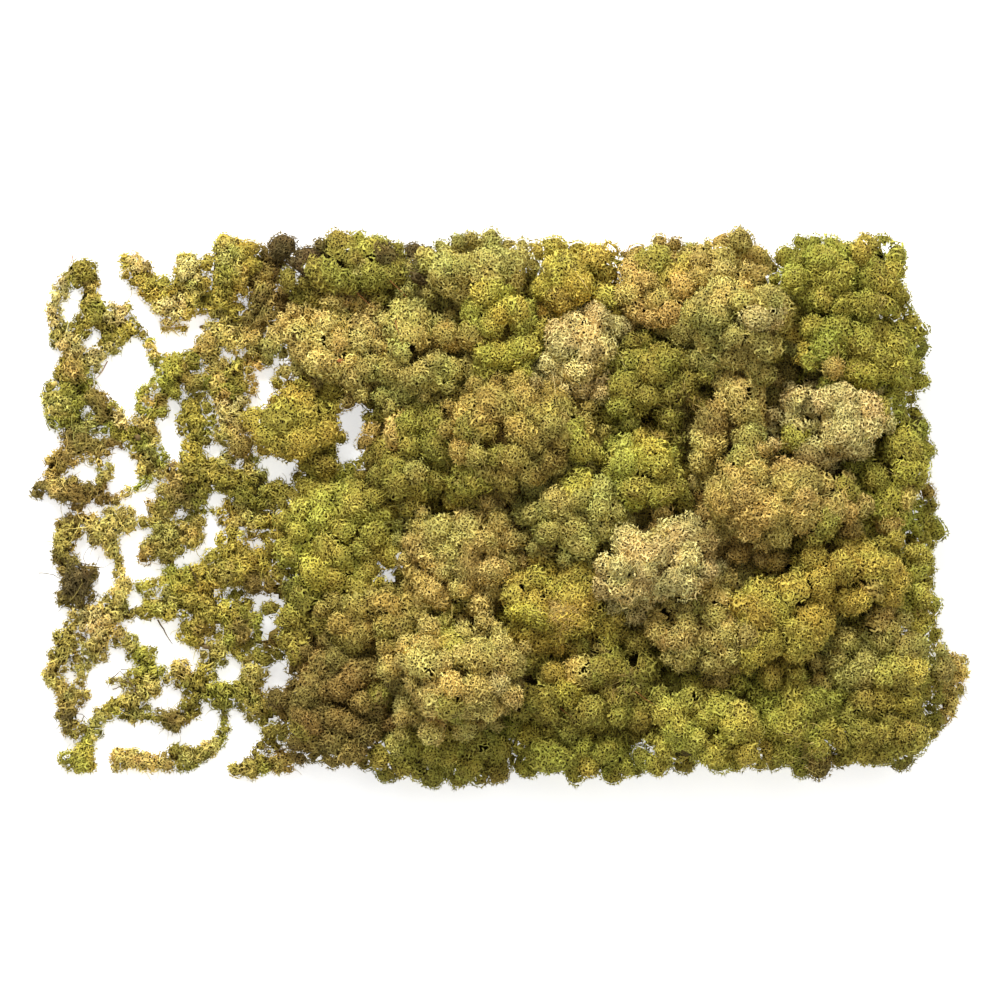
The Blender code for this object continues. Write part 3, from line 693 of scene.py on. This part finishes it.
# Bare ground that shows through the clump: x, y and radii in millimetres
CLEARINGS = [
    (-149, 53, 12.2, 15.5), (-130, 68, 8.4, 7.1), (-107, 62, 5.2, 2.7), (-96, 54, 3.8, 3.4),
    (-132, 29, 6.1, 9.5), (-116, -8, 4.2, 10.9), (-88, 15, 3.8, 6.3), (-103, -11, 2.5, 4.2),
    (-96, -37, 3.8, 5.7), (-94, -48, 2.9, 7.4), (-111, -36, 3.4, 2.9), (-134, -52, 6.3, 7.4),
    (-107, -64, 4.8, 5.2), (-90, -65, 3.8, 3.4), (-59, 34, 3.8, 5.6), (-60, 22, 2.2, 2.6),
    (-32, 31, 2.5, 1.7), (-46, -23, 2.0, 2.2),
]


def in_clearing(place, margin):
    """Whether a place lies in a clearing or within the margin of one."""
    x, y = (place[:2] - MIDDLE[:2]) / MM
    more = margin / MM
    return any(
        ((x - cx) / (rx + more)) ** 2 + ((y - cy) / (ry + more)) ** 2 < 1 for cx, cy, rx, ry in CLEARINGS
    )


def grow_sprig_runs(lobes_of, seed):
    """Lobes in a row along each small sprig, given to the tuft that lies nearest."""
    draw = np.random.default_rng(seed)
    every = [(node, lobe) for node in sorted(lobes_of) for lobe in lobes_of[node]]
    middles = np.array([lobe.middle for _, lobe in every])
    for x0, y0, x1, y1, size in SPRIG_RUNS:
        count = 1 + round(math.hypot(x1 - x0, y1 - y0) / (RUN_SPACING * size))
        for share in np.linspace(0, 1, count):
            radius = size * draw.uniform(0.85, 1.15) * MM
            along = spot(x0 + (x1 - x0) * share, y0 + (y1 - y0) * share)
            middle = along + (*draw.normal(0, RUN_WANDER, 2), radius)
            nearest = every[int(np.linalg.norm(middles - middle, axis=1).argmin())][0]
            tone = tone_at(middle, TUFT_TONES[SLOTS[nearest]], draw) * SPRIG_PAINTED_LIGHT
            lobes_of[nearest].append(Lobe(middle, np.array((0.0, 0.0, 1.0)), radius, tone, draw))


def grown(mask, reach):
    """A mask widened by a disc of that many grid steps."""
    wide = mask.copy()
    for dx in range(-reach, reach + 1):
        for dy in range(-reach, reach + 1):
            if 0 < dx * dx + dy * dy <= reach * reach:
                wide |= np.roll(mask, (dx, dy), (0, 1))
    return wide


def roof_of(lobes, shape, origin):
    """The height of the lobes' tops over each grid place; 0 where there is none."""
    roof = np.zeros(shape)
    for lobe in lobes:
        x, y = ((lobe.middle[:2] - origin) / GRID).tolist()
        reach = lobe.radius * ROOF_SHARE / GRID
        i = np.arange(max(0, int(x - reach)), min(shape[0], int(x + reach) + 2))
        j = np.arange(max(0, int(y - reach)), min(shape[1], int(y + reach) + 2))
        away = (i[:, None] - x) ** 2 + (j[None, :] - y) ** 2
        top = lobe.middle[2] + GRID * np.sqrt(np.maximum(reach**2 - away, 0))
        part = roof[i[0]:i[-1] + 1, j[0]:j[-1] + 1]
        np.copyto(part, np.maximum(part, np.where(away < reach**2, top, 0)))
    return roof


def fill_crevices(lobes_of, seed):
    """Adds low lobes where neighbouring tufts would leave the ground bare, save in the clearings.

    Returns where the grid starts, and where on it the mat may lie: under the crowns, and under the sprigs.
    """
    draw = np.random.default_rng(seed)
    margin = 12 * MM
    origin = np.array(CAD_LOW)[:2] - margin
    shape = tuple(np.ceil((np.array(CAD_HIGH)[:2] + margin - origin) / GRID).astype(int))
    every = [(node, lobe) for node in sorted(lobes_of) for lobe in lobes_of[node]]
    roof = roof_of([lobe for _, lobe in every], shape, origin)
    covered = roof > 0
    x = origin[0] + np.arange(shape[0])[:, None] * GRID - MIDDLE[0]
    y = origin[1] + np.arange(shape[1])[None, :] * GRID - MIDDLE[1]
    edge = (FRINGE_END + 5 * np.sin(y / (7 * MM)) + 3 * np.sin(y / (2.9 * MM))) * MM
    closed = np.where(
        x < edge,
        ~grown(~grown(covered, FRINGE_REACH), FRINGE_REACH),
        ~grown(~grown(covered, SEAM_REACH), SEAM_REACH),
    )
    bare = closed & ~covered
    shaded = ~grown(~(closed | (x < edge)), CROWN_STEPS) & (x > edge - 2 * MM)
    for cx, cy, rx, ry in CLEARINGS:
        closed &= ((x / MM - cx) / rx) ** 2 + ((y / MM - cy) / ry) ** 2 > 1
    bare &= closed
    wide_roof = roof.copy()
    for _ in range(3):
        for axis in (0, 1):
            for step in (-2, 2):
                wide_roof = np.maximum(wide_roof, np.roll(wide_roof, step, axis))
    middles = np.array([lobe.middle for _, lobe in every])
    seams = covered & (roof < SEAM_DEPTH * wide_roof) & (x > FRINGE_END * MM) & (wide_roof > HIGH_TUFTS)
    taken = np.empty((0, 3))
    for i, j in [*draw.permutation(np.argwhere(bare)), *draw.permutation(np.argwhere(seams))]:
        place = origin + np.array((i, j)) * GRID
        around = wide_roof[i, j]
        radius = min(draw.uniform(*FILL_SIZE) * MM, max(FILL_LEAST, around * 0.4))
        apart = np.hypot(*(taken[:, :2] - place).T)
        if (apart < FILL_CROWDING * (taken[:, 2] + radius)).any():
            continue
        if in_clearing(place, (0.15 if x[i, 0] < FRINGE_END * MM else 0.7) * radius):
            continue
        taken = np.vstack([taken, [*place, radius]])
        top = max(around * draw.uniform(*FILL_HEIGHT), radius * 1.2)
        middle = np.array((*place, top - radius))
        nearest = every[int(np.linalg.norm(middles - middle, axis=1).argmin())][0]
        # painted shade: the crevice lobes are darkened
        tone = tone_at(middle, TUFT_TONES[SLOTS[nearest]], draw) * FILL_PAINTED_SHADE
        lobes_of[nearest].append(Lobe(middle, np.array((0.0, 0.0, 1.0)), radius, tone, draw))
    return origin, closed & shaded, closed & (x < edge + 4 * MM)


def add_mat(growth, origin, floor, step, margin, height):
    """Dead stems packed on the ground under the tufts: a low uneven layer, seen at the bottom of crevices.
    Its brown is their own colour; its low lift paints it darker still, as painted shade.
    """
    inner = ~grown(~floor, margin)[::step, ::step]
    places = np.argwhere(inner)
    number = np.full(inner.shape, -1)
    number[inner] = np.arange(len(places))
    points = np.column_stack([origin + places * step * GRID, np.zeros(len(places))])
    points[:, 2] = height * (1 + 0.5 * ripple(points, 11 * MM, 41))
    corners = np.stack([number[:-1, :-1], number[1:, :-1], number[1:, 1:], number[:-1, 1:]], -1)
    corners = corners.reshape(-1, 4)
    faces = corners[(corners >= 0).all(1)]
    span = points[:, :2] - MIDDLE[:2]
    flat = (span / np.abs(span).max())[faces]
    # lift 0.10: the finish paints the mat darker, as shade
    growth.add(points, np.array(TONES["brown"]), 0.10, faces, flat, None, wide=True)


# Loose strands and litter

STRAND_STEP = 1.7 * MM
STRAND_LIFT = (0.2 * MM, 0.9 * MM)

# Places where old stems lie loose: x, y, spread, strands, heading in degrees and tone
STRINGY = [
    (76, 35, 10, 120, -60, "brown"), (66, 30, 8, 30, -50, "tan"), (60, -21, 14, 150, 200, "cream"),
    (-14, -24, 8, 80, 70, "brown"), (-10, -30, 8, 50, 60, "straw"), (24, -41, 8, 80, 30, "tan"),
    (60, -5, 7, 50, 150, "tan"), (-8, -81, 7, 60, 0, "brown"), (122, -95, 6, 40, 20, "straw"),
    (116, 5, 14, 70, 20, "straw"), (92, 50, 12, 60, -70, "straw"), (-10, 20, 16, 60, 120, "tan"),
    (-170, -30, 6, 70, 90, "dead"), (-86, 104, 6, 36, 30, "dead"), (-103, -49, 6, 26, 20, "brown"),
    (-97, -30, 5, 26, 0, "brown"), (48, -69, 7, 30, 60, "brown"), (-74, -59, 8, 40, 45, "brown"),
    (136, 57, 6, 24, -30, "tan"), (88, -15, 6, 26, 10, "brown"), (130, 4, 7, 26, 45, "tan"),
    (-151, -70, 5, 12, 0, "dead"), (-174, -84, 5, 20, 80, "dead"), (-132, -85, 5, 20, 0, "brown"),
    (-172, 56, 6, 26, -20, "brown"), (-160, 40, 6, 26, -50, "brown"), (-169, 23, 7, 30, 10, "brown"),
    (-174, 6, 6, 26, 0, "brown"), (-130, 5, 5, 20, 45, "brown"), (-178, 86, 5, 12, 60, "cream"),
]
ALL_OVER = 1300  # single branchlets lying anywhere on the clump
STRAND_GIRTH = (0.13, 0.24)  # millimetres
STEEPEST_STEP = 3.5 * MM  # strands that would drop more than this from one step to the next are left out
LITTER_NAMES = ("old_stems", "loose_branchlets", "wisps", "twigs", "needles", "bark_scraps")

# Thin things laid along x, y, x, y, ... with their thickness in millimetres and tone
WISPS = [
    ((-140, 11, -143, 7, -148, 6, -156, 3), 0.30, "tan"), ((-134, 72, -131, 71), 0.30, "cream"),
    ((-132, 72, -129, 69), 0.30, "cream"), ((-176, 32, -174, 27), 0.35, "brown"),
    ((-157, -69, -153, -66, -149, -70, -146, -75), 0.28, "dead"),
    ((-156, -73, -151, -71, -146, -68), 0.28, "dead"),
    ((-152, -74, -149, -67), 0.25, "dead"), ((-186, -26, -180, -27, -176, -29), 0.25, "dead"),
]
TWIGS = [
    ((-138, -45, -135, -50, -132, -55), 0.45, "dead"), ((-125, -23, -123, -27, -121, -32), 0.5, "dead"),
    ((-96, -93, -93, -100), 0.4, "dead"), ((-91, -98, -87, -97, -82, -95), 0.4, "dead"),
]
NEEDLES = [
    ((-158, 59, -161, 54, -164, 51), 0.30, "rust"), ((-172, 102, -173, 98), 0.25, "rust"),
    ((-44, 91, -36, 83), 0.25, "rust"), ((-58, 87, -50, 79), 0.25, "rust"),
    ((-42, 75, -39, 65), 0.25, "rust"), ((23, -79, 29, -84), 0.25, "rust"),
    ((54, -73, 62, -79), 0.25, "rust"), ((162, -85, 166, -89), 0.25, "rust"),
]

# Bark and bud scraps: x, y, size in millimetres and tone
FLAKES = [
    (-145.7, 28.4, 1.9, "dead"), (-147.3, -41.6, 2.2, "dead"), (-132.1, 17.2, 2.0, "dead"),
    (-118.1, -56.0, 1.9, "dead"), (-18.1, -3.6, 1.6, "dead"), (-154.9, -8.8, 1.2, "soot"),
    (-120.0, 73.0, 1.3, "dead"), (-64.0, 59.0, 1.5, "rust"), (-179.5, 50.0, 1.7, "straw"),
]


def surface_at(place):
    """The height of the moss's surface over a place; the ground's where there is none."""
    hit = BLOCKERS.ray_cast(Vector((place[0], place[1], 0.2)), Vector((0, 0, -1)))[0]
    return GROUND if hit is None else hit.z


def laid(places, lift):
    """A path over the moss through the given level places, sagging a little between high points."""
    heights = np.array([surface_at(place) for place in places])
    for _ in range(2):
        heights[1:-1] = np.maximum(heights[1:-1], (heights[:-2] + heights[2:]) / 2)
    heights[1:-1] = 0.5 * heights[1:-1] + 0.25 * (heights[:-2] + heights[2:])
    return np.column_stack([places[:, :2], heights + lift])


def add_strand(growth, path, girth, tone):
    """A three-sided stem along a path that thins to its end."""
    along = unit(np.gradient(path, axis=0))
    first = unit(np.cross(along, (0.0, 0.0, 1.0)))
    second = np.cross(first, along)
    taper = girth * np.linspace(1.0, 0.35, len(path))[:, None, None]
    ring = RING[None, :, :1] * first[:, None] + RING[None, :, 1:] * second[:, None]
    rings = path[:, None] + taper * ring
    count = len(path) - 1
    base = 3 * np.arange(count)[:, None]
    sides = []
    for k in range(3):
        then = (k + 1) % 3
        sides.append(np.hstack([base + k, base + then, base + 3 + then, base + 3 + k]))
    left = np.repeat(np.arange(3) * 2 / 3 - 1, count)
    across = np.stack([left, left + 2 / 3, left + 2 / 3, left], 1)
    flat = np.stack([across, np.broadcast_to((-1.0, -1.0, 1.0, 1.0), across.shape)], 2)
    growth.add(rings.reshape(-1, 3), tone, 0.7, np.concatenate(sides), flat, np.tile(np.arange(count), 3))
    growth.extend(np.array([[2, 1, 0], [3 * count, 3 * count + 1, 3 * count + 2]]), RING, np.arange(2))


def add_wandering(growth, start, heading, tone, draw):
    """A branchlet or stem that wanders over the moss from a start."""
    turns = draw.normal(0, 0.35, draw.integers(3, 8)).cumsum() + heading
    steps = STRAND_STEP * np.column_stack([np.cos(turns), np.sin(turns)])
    places = np.vstack([start[:2], start[:2] + steps.cumsum(0)])
    path = laid(places, draw.uniform(*STRAND_LIFT))
    if (path[:, 2] < 2 * MM).sum() > 2 or np.abs(np.diff(path[:, 2])).max() > STEEPEST_STEP:
        return
    path[:, 2] += draw.normal(0, 0.25 * MM, len(path))
    path[:, 2] = np.maximum(path[:, 2], 2 * GROUND)
    add_strand(growth, path, draw.uniform(*STRAND_GIRTH) * MM, tone)


def add_flake(growth, x, y, size, tone, draw):
    """A thin crumpled scrap that lies on the moss or the ground."""
    corners = 7
    around = np.arange(corners) * 2 * math.pi / corners + draw.uniform(0, 6)
    reach = size * MM * draw.uniform(0.6, 1.1, corners)
    level = spot(x, y)
    rise = draw.uniform(0, 0.8, corners) * MM
    rim = np.column_stack([np.cos(around) * reach, 0.7 * np.sin(around) * reach, rise])
    rim += (*level[:2], surface_at(level) + 0.3 * MM)
    top = np.vstack([rim, rim.mean(0) + (0, 0, 0.5 * MM)])
    points = np.vstack([top, top - (0, 0, 0.35 * MM)])
    here, then = np.arange(corners), (np.arange(corners) + 1) % corners
    under = corners + 1
    fans = np.vstack([
        np.column_stack([here, then, np.full(corners, corners)]),
        np.column_stack([then + under, here + under, np.full(corners, corners + under)]),
        np.column_stack([then, here, here + under]),
        np.column_stack([then, here + under, then + under]),
    ])
    flat = np.broadcast_to(RING, (len(fans), 3, 2))
    growth.add(points, tone, 0.7, fans, flat, np.arange(len(fans)))


def strands_and_litter():
    """The loose strands and scraps, as growths by name."""
    draw = np.random.default_rng(77)
    found = {name: Growth() for name in LITTER_NAMES}
    for x, y, spread, count, heading, tone in STRINGY:
        for _ in range(count):
            start = spot(*(draw.normal(0, 0.5 * spread, 2) + (x, y)))
            turned = math.radians(heading) + draw.normal(0, 0.6) + math.pi * draw.integers(2)
            shade = np.array(TONES[tone]) * draw.normal(0.9, 0.15)
            add_wandering(found["old_stems"], start, turned, shade, draw)
    for lobe in draw.choice(np.array(every_lobe, dtype=object), ALL_OVER):
        start = lobe.middle + draw.normal(0, 0.5, 3) * lobe.radius
        shade = lobe.tone * draw.normal(1.0, 0.14)
        add_wandering(found["loose_branchlets"], start, draw.uniform(0, 2 * math.pi), shade, draw)
    for name, things in (("wisps", WISPS), ("twigs", TWIGS), ("needles", NEEDLES)):
        for line, girth, tone in things:
            corners = np.array([spot(*pair)[:2] for pair in np.reshape(line, (-1, 2))])
            shares = np.linspace(0, len(corners) - 1, 4 * (len(corners) - 1) + 1)
            marks = np.arange(len(corners))
            places = np.column_stack([np.interp(shares, marks, corners[:, k]) for k in (0, 1)])
            places += draw.normal(0, 0.12 * MM, places.shape)
            add_strand(found[name], laid(places, 2.2 * girth * MM), girth * MM, np.array(TONES[tone]))
    for x, y, size, tone in FLAKES:
        add_flake(found["bark_scraps"], x, y, size, np.array(TONES[tone]), draw)
    return found


def neighbours(lobes):
    """For each lobe, the other lobes that it may touch."""
    middles = np.array([lobe.middle for lobe in lobes])
    reaches = np.array([lobe.radii.max() for lobe in lobes])
    found = []
    for index in range(len(lobes)):
        apart = np.linalg.norm(middles - middles[index], axis=1)
        near = np.flatnonzero(apart < reaches + reaches[index])
        found.append([lobes[other] for other in near if other != index])
    return found


CROWN_INSET = (7.0, 7.0, 9.0)  # how far a tuft's heart is drawn in, in millimetres
SPRIG_INSET = (1.4, 1.4, 2.4)


def add_heart(growth, node, tone):
    """The inside of a tuft, painted darkest as shade by its lift of 0: the frame's shape drawn in, seen only
    between lobes.
    """
    small = not node.startswith(("crown", "head"))
    bm = bmesh.new()
    bm.from_mesh(frame["nodes"][node].data)
    bmesh.ops.remove_doubles(bm, verts=bm.verts, dist=0.02 * MM)
    bm.normal_update()
    inset = Vector(SPRIG_INSET if small else CROWN_INSET) * MM
    for vert in bm.verts:
        vert.co -= vert.normal * inset
        vert.co.z = max(vert.co.z, 0.8 * MM)
    bmesh.ops.triangulate(bm, faces=bm.faces)
    bm.verts.index_update()
    points = np.array([vert.co[:] for vert in bm.verts])
    faces = np.array([[vert.index for vert in face.verts] for face in bm.faces])
    faces = faces[[not in_clearing(middle, 1.5 * MM) for middle in points[faces].mean(1)]]
    bm.free()
    if not len(faces):
        return
    flat = np.broadcast_to(RING, (len(faces), 3, 2))
    # lift 0: the finish paints the heart darkest, as painted shade
    growth.add(points, tone, 0.0, faces, flat, np.arange(len(faces)))


# Materials


class Value:
    """A shader socket that Python's operators work on."""

    def __init__(self, tree, socket):
        self.tree = tree
        self.socket = socket

    def __mul__(self, other):
        return self.tree.node("ShaderNodeMath", {"operation": "MULTIPLY"}, [self, other])

    def __rsub__(self, other):
        return self.tree.node("ShaderNodeMath", {"operation": "SUBTRACT"}, [other, self])


class Finish:
    """One node material with a Principled shader, built by expressions."""

    def __init__(self, name, roughness, specular):
        self.material = bpy.data.materials.new(name)
        self.material.use_nodes = True
        self.nodes = self.material.node_tree.nodes
        self.links = self.material.node_tree.links
        self.shader = self.nodes["Principled BSDF"]
        self.shader.inputs["Roughness"].default_value = roughness
        self.shader.inputs["Specular IOR Level"].default_value = specular

    def put(self, target, value):
        if isinstance(value, Value):
            self.links.new(value.socket, target)
        elif value is not None:
            target.default_value = value

    def node(self, kind, settings=None, sockets=(), output=0):
        """A node of that kind: settings first, then socket values or links, by place or by name."""
        made = self.nodes.new(kind)
        for key, value in (settings or {}).items():
            setattr(made, key, value)
        named = sockets.items() if isinstance(sockets, dict) else enumerate(sockets)
        for key, value in named:
            self.put(made.inputs[key], value)
        return Value(self, made.outputs[output])

    def attribute(self, name, output="Color"):
        return self.node("ShaderNodeAttribute", {"attribute_name": name}, output=output)

    def noise(self, scale, detail=2.0, roughness=0.5, output=0):
        where = self.node("ShaderNodeTexCoord", output="Object")
        sockets = {"Vector": where, "Scale": scale, "Detail": detail, "Roughness": roughness}
        return self.node("ShaderNodeTexNoise", sockets=sockets, output=output)

    def fit(self, value, low, high, to_low=0.0, to_high=1.0):
        sockets = [value, low, high, to_low, to_high]
        return self.node("ShaderNodeMapRange", {"interpolation_type": "SMOOTHSTEP"}, sockets)

    def mix(self, share, first, second, blend="MIX"):
        made = self.nodes.new("ShaderNodeMix")
        made.data_type = "RGBA"
        made.blend_type = blend
        self.put(made.inputs["Factor"], share)
        for key, value in ((6, first), (7, second)):
            self.put(made.inputs[key], value if isinstance(value, Value) else (*value, 1.0))
        return Value(self, made.outputs[2])

    def feed(self, socket, value):
        self.put(self.shader.inputs[socket], value)


WEB_SCALE = 980.0  # meshes a metre in the finest layer


def moss_finish(name):
    """Matt dry branchlets: the lobe's tone, painted brighter at the tips as painted highlight, duller
    threads, and inside a fine mesh painted dark and a deepest layer painted darker still, as painted shade.
    """
    finish = Finish(name, roughness=0.9, specular=0.15)
    tone = finish.attribute("tone")
    lift = finish.attribute("lift", "Fac")
    broad = finish.noise(75.0, 2.0)
    patchy = finish.noise(260.0, 3.0, 0.6)
    fine = finish.noise(1500.0, 2.0)
    warm = finish.mix(1.0, tone, (1.33, 1.24, 1.07), "MULTIPLY")
    fresh = finish.mix(1.0, tone, (1.21, 1.275, 1.07), "MULTIPLY")
    tone = finish.mix(finish.fit(broad, 0.38, 0.62), warm, fresh)
    tone = finish.mix(finish.fit(patchy, 0.55, 0.74) * 0.45, tone, (0.33, 0.25, 0.10))

    where = finish.node("ShaderNodeTexCoord", output="Object")
    bent = finish.mix(0.0016, where, finish.noise(600.0, 1.0, output="Color"), "ADD")
    places = {"Vector": bent, "Scale": WEB_SCALE}
    web = finish.node("ShaderNodeTexVoronoi", {"feature": "DISTANCE_TO_EDGE"}, places)
    strand = 1.0 - finish.fit(web, 0.05, 0.22)
    # painted shade: near black in the holes of the fine mesh, and somewhat darker on the strands under the
    # lace
    gap_shade = finish.mix(1.0, tone, (0.05, 0.042, 0.030), "MULTIPLY")
    under = finish.mix(1.0, tone, (0.94, 0.87, 0.74), "MULTIPLY")
    inside = finish.mix(strand, gap_shade, under)
    # painted shade: where the lift is lowest (the hearts most, the ground mat and the lining less) the colour
    # is darkened much further
    deepest_shade = finish.mix(1.0, inside, (0.22, 0.20, 0.16), "MULTIPLY")
    inside = finish.mix(finish.fit(lift, 0.0, 0.18), deepest_shade, inside)
    # painted highlight: the tips, with the highest lift, are painted brighter than the threads below them
    thread = finish.mix(1.0, tone, (0.96, 0.93, 0.86), "MULTIPLY")
    tip_highlight = finish.mix(1.0, tone, (1.15, 1.15, 1.15), "MULTIPLY")
    outside = finish.mix(finish.fit(lift, 0.40, 0.92), thread, tip_highlight)
    colour = finish.mix(finish.fit(lift, 0.26, 0.36), inside, outside)
    speckle = finish.mix(fine, (0.66, 0.66, 0.66), (1.30, 1.29, 1.22))
    colour = finish.mix(1.0, colour, speckle, "MULTIPLY")
    finish.feed("Base Color", colour)
    finish.feed("Roughness", finish.fit(fine, 0.3, 0.7, 0.8, 0.96))
    bump = finish.node("ShaderNodeBump", sockets={"Strength": 0.5, "Distance": 0.0003, "Height": fine})
    finish.feed("Normal", bump)
    return finish.material


# The studio


def studio():
    scene = bpy.context.scene
    scene.view_settings.view_transform = "Standard"
    scene.view_settings.look = "None"
    scene.view_settings.exposure = 0.0

    bpy.ops.mesh.primitive_plane_add(size=6.0, location=(0, 0, 0))
    floor = bpy.context.object
    floor.name = "floor"
    finish = Finish("pale_floor", roughness=0.9, specular=0.0)
    grain = finish.noise(40.0)
    finish.feed("Base Color", finish.mix(grain, (0.90, 0.90, 0.90), (0.92, 0.92, 0.92)))
    finish.shader.inputs["Emission Color"].default_value = (1.0, 1.0, 1.0, 1.0)
    finish.shader.inputs["Emission Strength"].default_value = 0.62
    floor.data.materials.append(finish.material)

    world = bpy.data.worlds.new("studio_air")
    world.use_nodes = True
    world.node_tree.nodes["Background"].inputs["Color"].default_value = (1.0, 1.0, 1.0, 1.0)
    world.node_tree.nodes["Background"].inputs["Strength"].default_value = 0.46
    scene.world = world

    for name, place, size, power in (
        ("key_light", (-0.55, 1.65, 1.35), 0.8, 47.0),
        ("fill_light", (1.1, 0.5, 1.9), 1.2, 8.0),
    ):
        data = bpy.data.lights.new(name, "AREA")
        data.size = size
        data.energy = power
        lamp = bpy.data.objects.new(name, data)
        lamp.location = place
        lamp.rotation_euler = (-Vector(place)).to_track_quat("-Z", "Y").to_euler()
        scene.collection.objects.link(lamp)

    data = bpy.data.cameras.new("camera")
    data.lens = 300.0
    data.sensor_width = 36.0
    data.clip_end = 20.0
    camera = bpy.data.objects.new("camera", data)
    frame_width = 0.400
    focus_height = 0.025
    height = focus_height + frame_width * data.lens / data.sensor_width
    camera.location = (MIDDLE[0] - 0.0001, MIDDLE[1] + 0.0032, height)
    scene.collection.objects.link(camera)
    scene.camera = camera


# Making everything

studio()
FINISHES = {slot: moss_finish(slot) for slot in sorted(set(SLOTS.values()))}

lobes_of = {node: lobes_on(node, 1000 + index) for index, node in enumerate(sorted(SHAPES))}
grow_sprig_runs(lobes_of, 6)
mat_origin, dense_floor, sprig_floor = fill_crevices(lobes_of, 5)
every_lobe = [lobe for node in sorted(lobes_of) for lobe in lobes_of[node]]
BLOCKERS = blockers(every_lobe)
close_by = dict(zip(map(id, every_lobe), neighbours(every_lobe)))


def finished(name, growth, slot):
    """Turns a growth into a piece that goes with the clump."""
    piece = bpy.data.objects.new(name, growth.mesh(name))
    piece.data.materials.append(FINISHES[slot])
    bpy.context.scene.collection.objects.link(piece)
    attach(piece, "root")
    return piece


for node in sorted(lobes_of):
    growth = Growth()
    add_heart(growth, node, np.array(TONES[TUFT_TONES[SLOTS[node]]]))
    for lobe in lobes_of[node]:
        pitch = CELL_PITCH * (1 + STEEP_PITCH * (1 - max(0.0, lobe.normal[2])))
        add_lace(growth, lobe, close_by[id(lobe)], pitch)
    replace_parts(finished(f"{node}_branchlets", growth, SLOTS[node]), node)

mat = Growth()
add_mat(mat, mat_origin, dense_floor, 3, 3, 1.2 * MM)
add_mat(mat, mat_origin, sprig_floor, 2, 1, 0.8 * MM)
finished("ground_mat", mat, "brown_moss")
litter = strands_and_litter()
for name in sorted(litter):
    finished(name, litter[name], "straw_moss" if name == "loose_branchlets" else "brown_moss")
